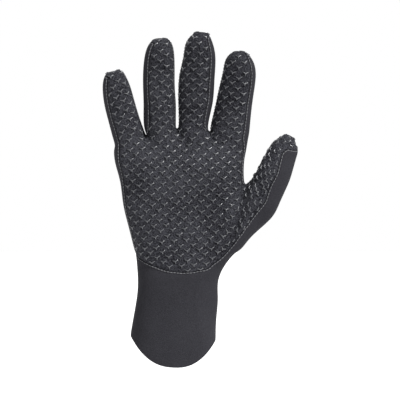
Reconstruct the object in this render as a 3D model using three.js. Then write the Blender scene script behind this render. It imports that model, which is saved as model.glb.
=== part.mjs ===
// A right-hand diving glove of 3 mm neoprene, filled as a hand fills it, palm towards -Y and fingers up.
// The origin is the middle of the cuff mouth, level with the corners of the hem. +X is the thumb side.
import * as THREE from "three";

// Driving sizes, in millimetres
const WALL = 3;
const SEAM_GAP = 0.3;
const HAND_BREADTH = 106;
const PALM_LENGTH = 106;
const HAND_DEPTH = 44;
const FINGER_LENGTH = 79;
const FINGER_WIDTH = 26;
const FINGER_DEPTH = 24;
const FINGER_CURL = 12;
const THUMB_LENGTH = 50;
const THUMB_WIDTH = 27;
const THUMB_FORWARD = 12;
const CUFF_LENGTH = 63;
const CUFF_WIDTH = 65;
const CUFF_DEPTH = 50;
const HEM_DROP = 21.5;

// How many strips a finger's front and back are made of, and how often the net is divided and fitted
const STRIPS = 3;
const FIT_ROUNDS = 12;
const DIVISIONS = 1;

// One row per finger, from the little finger. Shares of HAND_BREADTH: at, the root's place across the hand.
// Shares of PALM_LENGTH: root, the root's height over the wrist. Share of FINGER_LENGTH: long.
// In degrees: lean, and the places of the seams and back corners round the finger, 0 at the palm side.
const FINGERS = [
  { name: "little", at: -0.346, root: 0.883, long: 0.716, lean: -13.3, seams: [-41, 76], corners: [-130, 130] },
  { name: "ring", at: -0.116, root: 0.94, long: 0.95, lean: 0, seams: [-38, 66], corners: [-125, 132] },
  { name: "middle", at: 0.134, root: 0.96, long: 0.99, lean: 3.85, seams: [-84, 42], corners: [-135, 125] },
  { name: "index", at: 0.402, root: 0.924, long: 0.85, lean: 8.8, seams: [-84, 44], corners: [-135, 128] },
];

// A row per ring, from the root. up: share of the finger's length. wide: share of FINGER_WIDTH. deep: share
// of FINGER_DEPTH. off: share of FINGER_WIDTH by which the ring lies to the thumb side of a straight finger.
const FINGER_RINGS = {
  little: [
    { up: 0.12, wide: 0.99, deep: 0.9, off: 0.018 },
    { up: 0.33, wide: 0.945, deep: 0.93, off: -0.015 },
    { up: 0.55, wide: 0.925, deep: 0.9, off: -0.03 },
    { up: 0.75, wide: 0.865, deep: 0.86, off: -0.015 },
    { up: 0.89, wide: 0.73, deep: 0.72, off: 0 },
    { up: 0.965, wide: 0.57, deep: 0.5, off: 0.02 },
  ],
  ring: [
    { up: 0.09, wide: 0.995, deep: 0.97, off: -0.012 },
    { up: 0.3, wide: 0.995, deep: 0.97, off: -0.015 },
    { up: 0.52, wide: 0.98, deep: 0.94, off: -0.04 },
    { up: 0.74, wide: 0.945, deep: 0.9, off: -0.03 },
    { up: 0.89, wide: 0.83, deep: 0.76, off: 0 },
    { up: 0.965, wide: 0.62, deep: 0.5, off: 0.025 },
  ],
  middle: [
    { up: 0.08, wide: 0.915, deep: 0.98, off: -0.008 },
    { up: 0.3, wide: 1.05, deep: 1, off: 0.005 },
    { up: 0.53, wide: 1.085, deep: 0.97, off: 0 },
    { up: 0.75, wide: 0.98, deep: 0.93, off: 0.035 },
    { up: 0.89, wide: 0.83, deep: 0.78, off: 0.01 },
    { up: 0.965, wide: 0.57, deep: 0.5, off: 0.03 },
  ],
  index: [
    { up: 0.1, wide: 1.195, deep: 0.98, off: -0.003 },
    { up: 0.32, wide: 1.11, deep: 0.98, off: 0.005 },
    { up: 0.54, wide: 1.07, deep: 0.95, off: 0.015 },
    { up: 0.75, wide: 1.01, deep: 0.92, off: 0.025 },
    { up: 0.89, wide: 0.86, deep: 0.77, off: -0.015 },
    { up: 0.965, wide: 0.58, deep: 0.5, off: -0.03 },
  ],
};

// The three webs between the fingers: at, share of HAND_BREADTH; up, share of PALM_LENGTH over the wrist.
const WEBS = [
  { at: -0.219, up: 0.93 },
  { at: 0.015, up: 0.975 },
  { at: 0.257, up: 0.955 },
];

// Cross-sections of the hand from below the knuckles to the wrist. up: share of PALM_LENGTH over the wrist,
// at the sides. left, right: outline as shares of HAND_BREADTH. front, back: shares of HAND_DEPTH. bow: share
// of PALM_LENGTH by which the middle lies lower. cup: share of HAND_DEPTH by which the palm is hollowed.
// ball: share of HAND_DEPTH by which the ball of the thumb carries the palm forward at its edge. square: how
// full the section is, 2 for an ellipse. seams: shares of the breadth at which the palm panel starts and ends.
const HAND_ROWS = [
  {
    up: 0.81, left: -0.465, right: 0.53, front: 0.3, back: 0.29,
    bow: 0, cup: 0, ball: 0, square: 3.3, seams: [0.04, 0.982],
  },
  {
    up: 0.71, left: -0.453, right: 0.515, front: 0.37, back: 0.34,
    bow: 0, cup: 0.02, ball: 0.02, square: 3, seams: [0.037, 0.982],
  },
  {
    up: 0.57, left: -0.418, right: 0.52, front: 0.43, back: 0.38,
    bow: 0, cup: 0.05, ball: 0.08, square: 2.7, seams: [0.03, 0.982],
  },
  {
    up: 0.405, left: -0.395, right: 0.49, front: 0.48, back: 0.42,
    bow: 0.01, cup: 0.08, ball: 0.22, square: 2.5, seams: [0.024, 0.982],
  },
  {
    up: 0.235, left: -0.354, right: 0.47, front: 0.51, back: 0.455,
    bow: 0.025, cup: 0.08, ball: 0.24, square: 2.5, seams: [0.02, 0.975],
  },
  {
    up: 0.085, left: -0.314, right: 0.495, front: 0.52, back: 0.49,
    bow: 0.055, cup: 0.04, ball: 0.15, square: 2.5, seams: [0.018, 0.864],
  },
  {
    up: 0.022, left: -0.297, right: 0.424, front: 0.51, back: 0.5,
    bow: 0.115, cup: 0.01, ball: 0.03, square: 2.5, seams: [0.018, 0.765],
  },
];

// Cross-sections of the cuff. down: share of CUFF_LENGTH below the wrist, at the sides. left, right: shares
// of CUFF_WIDTH. front, back: shares of CUFF_DEPTH. seam: share of the breadth at which the front strips end.
const CUFF_ROWS = [
  { down: 0.22, left: -0.467, right: 0.536, front: 0.445, back: 0.455, seam: 0.76 },
  { down: 0.48, left: -0.475, right: 0.52, front: 0.46, back: 0.47, seam: 0.8 },
  { down: 0.74, left: -0.513, right: 0.503, front: 0.48, back: 0.49, seam: 0.87 },
  { down: 1, left: -0.555, right: 0.494, front: 0.5, back: 0.51, seam: 0.93 },
];

// Shares of the breadth at which the back's strips start and end, where the cuff's front strips start too;
// the fingers' edges, as shares of the strips' whole breadth; how full the other sections are
const SIDE_EDGES = [0.018, 0.982];
const HAND_SPLIT = [0, 0.241, 0.483, 0.73, 1];
const CUFF_SQUARE = 2.5;
const FINGER_SQUARE = 2.25;
const WRIST_SQUARE = 2;
const HEM_SQUARE = 2.43;
const HEM_TILT = -0.095;
const BALL_SQUARE = 4;
const WEB_FRONT = 0.42;
const WEB_BACK = 0.62;

// The cross-sections of the hand between which the thumb opens: it takes the place of the hand's side there
const THUMB_TOP_ROW = 2;
const THUMB_LOW_ROW = 5;

// Rings of the thumb, from its root. out, up: shares of THUMB_LENGTH from the fork between index and thumb.
// wide: share of THUMB_WIDTH. deep: share of THUMB_WIDTH. slope: degrees by which the ring's outer end drops.
// forward: share of THUMB_FORWARD. seams, corners: degrees round the ring. dip: share of THUMB_WIDTH by which
// the ring's palm side lies lower.
const THUMB_FORK = { at: 0.551, up: 0.58 };
const THUMB_RINGS = [
  {
    out: 0.03, up: -0.43, wide: 1.6, deep: 1.36, slope: 86, forward: 0.35,
    seams: [-84, 17.5], corners: [-126, 116], dip: 0,
  },
  {
    out: 0.2, up: -0.27, wide: 1.32, deep: 1.2, slope: 65, forward: 0.6,
    seams: [-92, 10], corners: [-132, 106], dip: 0,
  },
  {
    out: 0.286, up: -0.106, wide: 1.11, deep: 1.08, slope: 44.5, forward: 0.75,
    seams: [-98, 4], corners: [-138, 102], dip: 0,
  },
  {
    out: 0.368, up: 0.064, wide: 1.015, deep: 0.98, slope: 20.5, forward: 0.9,
    seams: [-100, 4.4], corners: [-140, 100], dip: 0,
  },
  {
    out: 0.448, up: 0.256, wide: 0.957, deep: 0.92, slope: 21.8, forward: 0.97,
    seams: [-100, 2.6], corners: [-140, 98], dip: 0.02,
  },
  {
    out: 0.534, up: 0.462, wide: 0.852, deep: 0.82, slope: 21, forward: 1,
    seams: [-98, -1.5], corners: [-138, 98], dip: 0.06,
  },
  {
    out: 0.59, up: 0.585, wide: 0.72, deep: 0.72, slope: 22, forward: 1,
    seams: [-90, 8], corners: [-132, 100], dip: 0.12,
  },
  {
    out: 0.62, up: 0.672, wide: 0.46, deep: 0.46, slope: 22, forward: 1,
    seams: [-75, 30], corners: [-132, 120], dip: 0.04,
  },
];
const THUMB_TIP = { out: 0.634, up: 0.735 };

const WRIST_UP = CUFF_LENGTH;
const COLUMNS = STRIPS * FINGERS.length;
const PANELS = { palm: "palm_panel", back: "back_and_cuff" };

const radians = THREE.MathUtils.degToRad;
const mix = THREE.MathUtils.lerp;

// The control net of the whole glove
const net = { points: [], faces: [] };

function addPoint(point) {
  net.points.push(point);
  return net.points.length - 1;
}

function addFace(ring, panel) {
  net.faces.push({ ring, panel });
}

function squareOff(value, power) {
  return Math.sign(value) * Math.abs(value) ** (2 / power);
}

// A point of a section at a place across it, from -1 on the left to 1 on the right, on the palm or the back
function handPoint(row, across, side) {
  const reach = (1 - Math.abs(across) ** row.square) ** (1 / row.square);
  const x = mix(row.left, row.right, (across + 1) / 2);
  const hollow = row.cup * Math.cos((across * Math.PI) / 2) ** 2;
  const ball = row.ball * Math.max(across, 0) ** BALL_SQUARE;
  const y = side < 0 ? hollow - ball - row.front * reach : row.back * reach;
  const bow = row.bow * (1 - Math.abs(across) ** row.bowSquare);
  return new THREE.Vector3(x, y, row.height + row.tilt * across - bow);
}

function handSection(row) {
  return {
    left: row.left * HAND_BREADTH,
    right: row.right * HAND_BREADTH,
    front: row.front * HAND_DEPTH,
    back: row.back * HAND_DEPTH,
    cup: row.cup * HAND_DEPTH,
    ball: row.ball * HAND_DEPTH,
    square: row.square,
    bow: row.bow * PALM_LENGTH,
    bowSquare: WRIST_SQUARE,
    height: WRIST_UP + row.up * PALM_LENGTH,
    tilt: 0,
    seams: row.seams,
  };
}

function cuffSection(row) {
  const wristBow = HAND_ROWS[HAND_ROWS.length - 1].bow * PALM_LENGTH;
  return {
    left: row.left * CUFF_WIDTH,
    right: row.right * CUFF_WIDTH,
    front: row.front * CUFF_DEPTH,
    back: row.back * CUFF_DEPTH,
    cup: 0,
    ball: 0,
    square: CUFF_SQUARE,
    bow: mix(wristBow, HEM_DROP, row.down),
    bowSquare: mix(WRIST_SQUARE, HEM_SQUARE, row.down),
    height: WRIST_UP - row.down * CUFF_LENGTH,
    tilt: row.down * HEM_TILT * HEM_DROP,
    seams: [SIDE_EDGES[0], row.seam],
  };
}

// The finger that a column of the hand runs into; the last column belongs to the last finger
function fingerOf(column) {
  return Math.min(Math.floor(column / STRIPS), FINGERS.length - 1);
}

// Place across the hand of a column, from -1 to 1, so that each finger keeps its own strips between the ends
function across(column, [start, end]) {
  const finger = fingerOf(column);
  const step = (column - finger * STRIPS) / STRIPS;
  return 2 * mix(start, end, mix(HAND_SPLIT[finger], HAND_SPLIT[finger + 1], step)) - 1;
}

// The point half way round a section's right side, between the ends of the front and back strips
function sidePoint(section) {
  const turnTo = (place) => Math.asin(place ** (section.square / 2));
  const front = turnTo(across(COLUMNS, section.seams));
  const back = Math.PI - turnTo(across(COLUMNS, SIDE_EDGES));
  const turn = (front + back) / 2;
  return handPoint(section, Math.sin(turn) ** (2 / section.square), turn < Math.PI / 2 ? -1 : 1);
}

// A row round the hand: the front from left to right, the right side, the back from right to left, the left side
function handRing(section) {
  const front = [];
  const back = [];
  for (let column = 0; column <= COLUMNS; column++) {
    front.push(addPoint(handPoint(section, across(column, section.seams), -1)));
    back.push(addPoint(handPoint(section, across(column, SIDE_EDGES), 1)));
  }
  return {
    front,
    right: addPoint(sidePoint(section)),
    back,
    left: addPoint(handPoint(section, -1, 1)),
  };
}

function ringLoop(ring) {
  return [...ring.front, ring.right, ...[...ring.back].reverse(), ring.left];
}

// The places round a ring of a finger: the palm strips, the right side, the back strips, the left side
function ringPlaces(at) {
  const [seamLeft, seamRight] = at.seams;
  const [cornerLeft, cornerRight] = at.corners;
  const angles = [];
  for (let step = 0; step <= STRIPS; step++) angles.push(mix(seamLeft, seamRight, step / STRIPS));
  angles.push((seamRight + cornerRight) / 2);
  for (let step = 0; step <= STRIPS; step++) angles.push(mix(cornerRight, cornerLeft + 360, step / STRIPS));
  angles.push((seamLeft + cornerLeft) / 2);
  return angles.map((angle) => {
    const turn = radians(angle);
    const aside = at.halfWidth * squareOff(Math.sin(turn), FINGER_SQUARE);
    const ahead = at.halfDepth * squareOff(Math.cos(turn), FINGER_SQUARE);
    return at.middle
      .clone()
      .addScaledVector(at.aside, aside)
      .addScaledVector(at.ahead, ahead)
      .addScaledVector(at.along, -at.dip * Math.cos(turn));
  });
}

// Faces between two rings of a finger, palm strips first
function joinRings(lower, upper, tip) {
  lower.forEach((_, i) => {
    const next = (i + 1) % lower.length;
    const panel = tip || i < STRIPS ? PANELS.palm : PANELS.back;
    addFace([lower[i], lower[next], upper[next], upper[i]], panel);
  });
}

// The rounded end of a finger: the last ring closed over a short ridge through the tip
function capRing(ring, tip, halfRidge, aside) {
  const front = ring.slice(0, STRIPS + 1);
  const right = ring[STRIPS + 1];
  const back = ring.slice(STRIPS + 2, 2 * STRIPS + 3).reverse();
  const left = ring[2 * STRIPS + 3];
  const ridge = [left];
  for (let step = 1; step < STRIPS; step++) {
    const place = STRIPS > 2 ? (2 * (step - 1)) / (STRIPS - 2) - 1 : 0;
    ridge.push(addPoint(tip.clone().addScaledVector(aside, place * halfRidge)));
  }
  ridge.push(right);
  for (let step = 0; step < STRIPS; step++) {
    addFace([front[step], front[step + 1], ridge[step + 1], ridge[step]], PANELS.palm);
    addFace([ridge[step], ridge[step + 1], back[step + 1], back[step]], PANELS.palm);
  }
}

// The middle line of a finger: straight along its lean, curling towards the palm
function fingerAxis(finger) {
  const lean = radians(finger.lean);
  const up = new THREE.Vector3(Math.sin(lean), 0, Math.cos(lean));
  const aside = new THREE.Vector3(Math.cos(lean), 0, -Math.sin(lean));
  const root = new THREE.Vector3(finger.at * HAND_BREADTH, 0, WRIST_UP + finger.root * PALM_LENGTH);
  return { up, root, aside, length: finger.long * FINGER_LENGTH };
}

function fingerMiddle(finger, share, off) {
  const { up, root, aside, length } = fingerAxis(finger);
  return root
    .addScaledVector(up, share * length)
    .add(new THREE.Vector3(0, -FINGER_CURL * share ** 2, 0))
    .addScaledVector(aside, off * FINGER_WIDTH);
}

function fingerPlaces(finger, row) {
  const { up, aside, length } = fingerAxis(finger);
  const slope = (2 * FINGER_CURL * row.up) / length;
  const along = up.clone().add(new THREE.Vector3(0, -slope, 0)).normalize();
  return ringPlaces({
    middle: fingerMiddle(finger, row.up, row.off),
    aside,
    ahead: new THREE.Vector3().crossVectors(aside, along),
    along,
    halfWidth: (row.wide * FINGER_WIDTH) / 2,
    halfDepth: (row.deep * FINGER_DEPTH) / 2,
    seams: finger.seams,
    corners: finger.corners,
    dip: 0,
  });
}

// A web's point at a depth, as a share of half the fingers' depth
function webPoint(web, depth) {
  return new THREE.Vector3(web.at * HAND_BREADTH, (depth * FINGER_DEPTH) / 2, WRIST_UP + web.up * PALM_LENGTH);
}

// The row along the fingers' roots: each finger's own root, with the webs between
function knuckleRing() {
  const roots = FINGERS.map((finger) => fingerPlaces(finger, { ...FINGER_RINGS[finger.name][0], up: 0 }));
  const front = [];
  const back = [];
  for (let column = 0; column <= COLUMNS; column++) {
    const web = WEBS[column / STRIPS - 1];
    const root = roots[fingerOf(column)];
    const step = column - fingerOf(column) * STRIPS;
    front.push(addPoint(web ? webPoint(web, -WEB_FRONT) : root[step]));
    back.push(addPoint(web ? webPoint(web, WEB_BACK) : root[2 * STRIPS + 2 - step]));
  }
  return { front, right: addPoint(roots.at(-1)[STRIPS + 1]), back, left: addPoint(roots[0].at(-1)) };
}

// The hand from the knuckles to the wrist, and the cuff
const knuckles = knuckleRing();
const webMiddles = WEBS.map((web) => addPoint(webPoint(web, (WEB_BACK - WEB_FRONT) / 2)));
const handRows = HAND_ROWS.map((row) => handRing(handSection(row)));
const cuffRows = CUFF_ROWS.map((row) => handRing(cuffSection(row)));

[...handRows, ...cuffRows].forEach((ring, i) => {
  const upper = ringLoop(i > 0 ? [...handRows, ...cuffRows][i - 1] : knuckles);
  const lower = ringLoop(ring);
  const thumbHere = i > THUMB_TOP_ROW && i <= THUMB_LOW_ROW;
  lower.forEach((_, k) => {
    const next = (k + 1) % lower.length;
    if (thumbHere && (k === COLUMNS || k === COLUMNS + 1)) return;
    const palm = k < COLUMNS && i < HAND_ROWS.length;
    addFace([lower[k], lower[next], upper[next], upper[k]], palm ? PANELS.palm : PANELS.back);
  });
});

// The fingers, each on its own stretch of the knuckle row
FINGERS.forEach((finger, i) => {
  const columns = Array.from({ length: STRIPS + 1 }, (_, step) => STRIPS * i + step);
  let ring = [
    ...columns.map((column) => knuckles.front[column]),
    i < WEBS.length ? webMiddles[i] : knuckles.right,
    ...columns.map((column) => knuckles.back[column]).reverse(),
    i > 0 ? webMiddles[i - 1] : knuckles.left,
  ];
  const fingerRings = FINGER_RINGS[finger.name];
  for (const row of fingerRings) {
    const next = fingerPlaces(finger, row).map(addPoint);
    joinRings(ring, next, false);
    ring = next;
  }
  const last = fingerRings.at(-1);
  capRing(ring, fingerMiddle(finger, 1, last.off), (last.wide * FINGER_WIDTH) / 4, fingerAxis(finger).aside);
});

// The thumb, from the opening in the hand's side
const thumbRows = handRows.slice(THUMB_TOP_ROW, THUMB_LOW_ROW + 1);
const fork = new THREE.Vector3(THUMB_FORK.at * HAND_BREADTH, 0, WRIST_UP + THUMB_FORK.up * PALM_LENGTH);
let thumbRing = [
  ...thumbRows.map((row) => row.front[COLUMNS]),
  thumbRows.at(-1).right,
  ...thumbRows.map((row) => row.back[COLUMNS]).reverse(),
  thumbRows[0].right,
];
for (const row of THUMB_RINGS) {
  const slope = radians(row.slope);
  const aside = new THREE.Vector3(Math.cos(slope), 0, -Math.sin(slope));
  const along = new THREE.Vector3(Math.sin(slope), 0, Math.cos(slope));
  const next = ringPlaces({
    middle: fork
      .clone()
      .add(new THREE.Vector3(row.out * THUMB_LENGTH, -row.forward * THUMB_FORWARD, row.up * THUMB_LENGTH)),
    aside,
    ahead: new THREE.Vector3().crossVectors(aside, along),
    along,
    halfWidth: (row.wide * THUMB_WIDTH) / 2,
    halfDepth: (row.deep * THUMB_WIDTH) / 2,
    seams: row.seams,
    corners: row.corners,
    dip: row.dip * THUMB_WIDTH,
  }).map(addPoint);
  joinRings(thumbRing, next, row === THUMB_RINGS.at(-1));
  thumbRing = next;
}
const thumbEnd = THUMB_RINGS.at(-1);
const thumbSlope = radians(thumbEnd.slope);
capRing(
  thumbRing,
  fork
    .clone()
    .add(new THREE.Vector3(THUMB_TIP.out * THUMB_LENGTH, -THUMB_FORWARD, THUMB_TIP.up * THUMB_LENGTH)),
  (thumbEnd.wide * THUMB_WIDTH) / 4,
  new THREE.Vector3(Math.cos(thumbSlope), 0, -Math.sin(thumbSlope)),
);

// Which faces and points lie round each point and along each edge of a net
function neighbours(points, faces) {
  const edges = new Map();
  const around = points.map(() => ({ faces: [], edges: [] }));
  faces.forEach((face, f) => {
    face.ring.forEach((a, i) => {
      const b = face.ring[(i + 1) % face.ring.length];
      const key = a < b ? `${a}_${b}` : `${b}_${a}`;
      if (!edges.has(key)) {
        const edge = { ends: [a, b], faces: [] };
        edges.set(key, edge);
        around[a].edges.push(edge);
        around[b].edges.push(edge);
      }
      edges.get(key).faces.push(f);
      around[a].faces.push(f);
    });
  });
  return { edges, around };
}

function average(list) {
  return list.reduce((sum, p) => sum.add(p), new THREE.Vector3()).divideScalar(list.length);
}

// One step of smooth subdivision: every face becomes four
function divide({ points, faces }) {
  const { edges, around } = neighbours(points, faces);
  const middles = faces.map((face) => average(face.ring.map((i) => points[i])));
  const made = points.map((point, i) => {
    const near = around[i];
    const rim = near.edges.filter((edge) => edge.faces.length === 1);
    if (rim.length) {
      const ends = rim.map((edge) => points[edge.ends[0] === i ? edge.ends[1] : edge.ends[0]]);
      return point.clone().multiplyScalar(6).add(ends[0]).add(ends[1]).divideScalar(8);
    }
    const n = near.faces.length;
    const faceMean = average(near.faces.map((f) => middles[f]));
    const edgeMean = average(near.edges.map((edge) => average(edge.ends.map((e) => points[e]))));
    return point
      .clone()
      .multiplyScalar(n - 3)
      .add(faceMean)
      .addScaledVector(edgeMean, 2)
      .divideScalar(n);
  });
  const faceAt = middles.map((middle) => made.push(middle) - 1);
  for (const edge of edges.values()) {
    const ends = average(edge.ends.map((e) => points[e]));
    const whole = edge.faces.length === 2;
    edge.at = made.push(whole ? ends.add(average(edge.faces.map((f) => middles[f]))).divideScalar(2) : ends) - 1;
  }
  const edgeAt = (a, b) => edges.get(a < b ? `${a}_${b}` : `${b}_${a}`).at;
  const finer = [];
  faces.forEach((face, f) => {
    const ring = face.ring;
    ring.forEach((corner, i) => {
      const after = edgeAt(corner, ring[(i + 1) % ring.length]);
      const before = edgeAt(ring[(i + ring.length - 1) % ring.length], corner);
      finer.push({ ring: [corner, after, faceAt[f], before], panel: face.panel });
    });
  });
  return { points: made, faces: finer };
}

// Where the smooth surface passes for each point of a net
function limitPoints({ points, faces }) {
  const { around } = neighbours(points, faces);
  return points.map((point, i) => {
    const near = around[i];
    const far = (edge) => points[edge.ends[0] === i ? edge.ends[1] : edge.ends[0]];
    const rim = near.edges.filter((edge) => edge.faces.length === 1);
    if (rim.length) {
      return point.clone().multiplyScalar(4).add(far(rim[0])).add(far(rim[1])).divideScalar(6);
    }
    const n = near.faces.length;
    const sum = point.clone().multiplyScalar(n * n);
    near.edges.forEach((edge) => sum.addScaledVector(far(edge), 4));
    near.faces.forEach((f) => {
      const ring = faces[f].ring;
      sum.add(points[ring[(ring.indexOf(i) + 2) % ring.length]]);
    });
    return sum.divideScalar(n * (n + 5));
  });
}

// Moves the control points until the smooth surface passes through the places worked out from the sizes
function fit({ points, faces }) {
  let control = points.map((point) => point.clone());
  for (let round = 0; round < FIT_ROUNDS; round++) {
    const reached = limitPoints({ points: control, faces });
    control = control.map((point, i) => point.add(points[i]).sub(reached[i]));
  }
  return { points: control, faces };
}

let surface = fit(net);
for (let i = 0; i < DIVISIONS; i++) surface = divide(surface);
surface = { points: limitPoints(surface), faces: surface.faces };

function faceNormal(points, ring) {
  const [a, b, c, d] = ring.map((i) => points[i]);
  return new THREE.Vector3().crossVectors(c.clone().sub(a), d.clone().sub(b));
}

const normals = surface.points.map(() => new THREE.Vector3());
surface.faces.forEach((face) => {
  const normal = faceNormal(surface.points, face.ring);
  face.ring.forEach((i) => normals[i].add(normal));
});
normals.forEach((normal) => normal.normalize());

// A panel of neoprene: its outer face on the surface, its inner face one wall inside, its edges cut square and
// held back by half the seam gap
function panelSolid(name, colour) {
  const faces = surface.faces.filter((face) => face.panel === name);
  const { edges } = neighbours(surface.points, faces);
  const inward = new Map();
  const rims = [];
  faces.forEach((face) => {
    const normal = faceNormal(surface.points, face.ring).normalize();
    face.ring.forEach((a, i) => {
      const b = face.ring[(i + 1) % face.ring.length];
      if (edges.get(a < b ? `${a}_${b}` : `${b}_${a}`).faces.length > 1) return;
      const along = surface.points[b].clone().sub(surface.points[a]).normalize();
      const inside = new THREE.Vector3().crossVectors(normal, along);
      for (const end of [a, b]) inward.set(end, [...(inward.get(end) ?? []), inside]);
      rims.push([a, b]);
    });
  });
  const vertices = [];
  const outer = new Map();
  const used = new Set(faces.flatMap((face) => face.ring));
  for (const i of used) {
    const shift = new THREE.Vector3();
    if (inward.has(i)) {
      const directions = inward.get(i);
      shift.copy(average(directions)).normalize();
      const lean = Math.max(shift.dot(directions[0]), 0.4);
      shift.multiplyScalar(SEAM_GAP / 2 / lean);
    }
    const point = surface.points[i].clone().add(shift);
    outer.set(i, vertices.length / 3);
    vertices.push(...point.toArray(), ...point.addScaledVector(normals[i], -WALL).toArray());
  }
  const index = [];
  const addQuad = (quad) => {
    const at = quad.map((i) => new THREE.Vector3().fromArray(vertices, 3 * i));
    const cutFirst = at[0].distanceToSquared(at[2]) <= at[1].distanceToSquared(at[3]);
    const [a, b, c, d] = quad;
    index.push(...(cutFirst ? [a, b, c, a, c, d] : [a, b, d, b, c, d]));
  };
  const inner = (i) => outer.get(i) + 1;
  faces.forEach(({ ring }) => {
    addQuad(ring.map((i) => outer.get(i)));
    addQuad([...ring].reverse().map(inner));
  });
  rims.forEach(([a, b]) => addQuad([outer.get(b), outer.get(a), inner(a), inner(b)]));
  const geometry = new THREE.BufferGeometry();
  geometry.setAttribute("position", new THREE.Float32BufferAttribute(vertices, 3));
  geometry.setIndex(index);
  geometry.computeVertexNormals();
  const mesh = new THREE.Mesh(
    geometry,
    new THREE.MeshStandardMaterial({ color: colour, roughness: 0.85, metalness: 0 }),
  );
  mesh.name = name;
  return mesh;
}

const glove = new THREE.Group();
glove.name = "diving_glove";
glove.add(panelSolid(PANELS.palm, "#3f4147"));
glove.add(panelSolid(PANELS.back, "#2e3035"));

export default glove;
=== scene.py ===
import math

import bpy
import numpy as np
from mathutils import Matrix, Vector
from mathutils.bvhtree import BVHTree
from mathutils.kdtree import KDTree
from mathutils.noise import noise


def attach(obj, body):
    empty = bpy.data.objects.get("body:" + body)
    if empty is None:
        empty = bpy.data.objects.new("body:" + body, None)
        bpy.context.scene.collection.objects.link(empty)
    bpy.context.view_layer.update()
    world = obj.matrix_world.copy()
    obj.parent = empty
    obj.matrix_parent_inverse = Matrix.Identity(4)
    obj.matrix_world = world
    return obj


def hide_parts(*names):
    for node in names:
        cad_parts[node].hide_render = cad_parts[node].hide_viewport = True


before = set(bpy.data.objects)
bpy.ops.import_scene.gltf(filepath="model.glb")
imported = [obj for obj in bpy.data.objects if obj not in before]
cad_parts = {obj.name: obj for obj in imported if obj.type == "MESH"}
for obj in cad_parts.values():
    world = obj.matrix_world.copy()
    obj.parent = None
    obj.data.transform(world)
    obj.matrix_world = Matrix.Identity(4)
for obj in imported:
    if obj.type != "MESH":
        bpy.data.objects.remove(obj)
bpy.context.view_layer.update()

# Driving sizes, in millimetres, as the solids have them; the scene itself is in metres
MM = 0.001
WALL = 3.0
HAND_BREADTH = 106.0
PALM_LENGTH = 106.0
HAND_DEPTH = 44.0
FINGER_LENGTH = 79.0
FINGER_WIDTH = 26.0
FINGER_DEPTH = 24.0
FINGER_CURL = 12.0
THUMB_LENGTH = 50.0
THUMB_WIDTH = 27.0
THUMB_FORWARD = 12.0
CUFF_LENGTH = 63.0
CUFF_WIDTH = 65.0
CUFF_DEPTH = 50.0
HEM_DROP = 21.5

STRIPS = 3
FIT_ROUNDS = 12
DIVISIONS = 3

# name, at, root, long, lean, seams, corners: as in the solids
FINGERS = [
    dict(name="little", at=-0.346, root=0.883, long=0.716, lean=-13.3, seams=(-41, 76), corners=(-130, 130)),
    dict(name="ring", at=-0.116, root=0.94, long=0.95, lean=0, seams=(-38, 66), corners=(-125, 132)),
    dict(name="middle", at=0.134, root=0.96, long=0.99, lean=3.85, seams=(-84, 42), corners=(-135, 125)),
    dict(name="index", at=0.402, root=0.924, long=0.85, lean=8.8, seams=(-84, 44), corners=(-135, 128)),
]

# up, wide, deep, off
FINGER_RINGS = {
    "little": [
        (0.12, 0.99, 0.9, 0.018),
        (0.33, 0.945, 0.93, -0.015),
        (0.55, 0.925, 0.9, -0.03),
        (0.75, 0.865, 0.86, -0.015),
        (0.89, 0.73, 0.72, 0),
        (0.965, 0.57, 0.5, 0.02),
    ],
    "ring": [
        (0.09, 0.995, 0.97, -0.012),
        (0.3, 0.995, 0.97, -0.015),
        (0.52, 0.98, 0.94, -0.04),
        (0.74, 0.945, 0.9, -0.03),
        (0.89, 0.83, 0.76, 0),
        (0.965, 0.62, 0.5, 0.025),
    ],
    "middle": [
        (0.08, 0.915, 0.98, -0.008),
        (0.3, 1.05, 1, 0.005),
        (0.53, 1.085, 0.97, 0),
        (0.75, 0.98, 0.93, 0.035),
        (0.89, 0.83, 0.78, 0.01),
        (0.965, 0.57, 0.5, 0.03),
    ],
    "index": [
        (0.1, 1.195, 0.98, -0.003),
        (0.32, 1.11, 0.98, 0.005),
        (0.54, 1.07, 0.95, 0.015),
        (0.75, 1.01, 0.92, 0.025),
        (0.89, 0.86, 0.77, -0.015),
        (0.965, 0.58, 0.5, -0.03),
    ],
}

# at, up
WEBS = [(-0.219, 0.93), (0.015, 0.975), (0.257, 0.955)]

# up, left, right, front, back, bow, cup, ball, square, seams
HAND_ROWS = [
    (0.81, -0.465, 0.53, 0.3, 0.29, 0, 0, 0, 3.3, (0.04, 0.982)),
    (0.71, -0.453, 0.515, 0.37, 0.34, 0, 0.02, 0.02, 3, (0.037, 0.982)),
    (0.57, -0.418, 0.52, 0.43, 0.38, 0, 0.05, 0.08, 2.7, (0.03, 0.982)),
    (0.405, -0.395, 0.49, 0.48, 0.42, 0.01, 0.08, 0.22, 2.5, (0.024, 0.982)),
    (0.235, -0.354, 0.47, 0.51, 0.455, 0.025, 0.08, 0.24, 2.5, (0.02, 0.975)),
    (0.085, -0.314, 0.495, 0.52, 0.49, 0.055, 0.04, 0.15, 2.5, (0.018, 0.864)),
    (0.022, -0.297, 0.424, 0.51, 0.5, 0.115, 0.01, 0.03, 2.5, (0.018, 0.765)),
]

# down, left, right, front, back, seam
CUFF_ROWS = [
    (0.22, -0.467, 0.536, 0.445, 0.455, 0.76),
    (0.48, -0.475, 0.52, 0.46, 0.47, 0.8),
    (0.74, -0.513, 0.503, 0.48, 0.49, 0.87),
    (1, -0.555, 0.494, 0.5, 0.51, 0.93),
]

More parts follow.
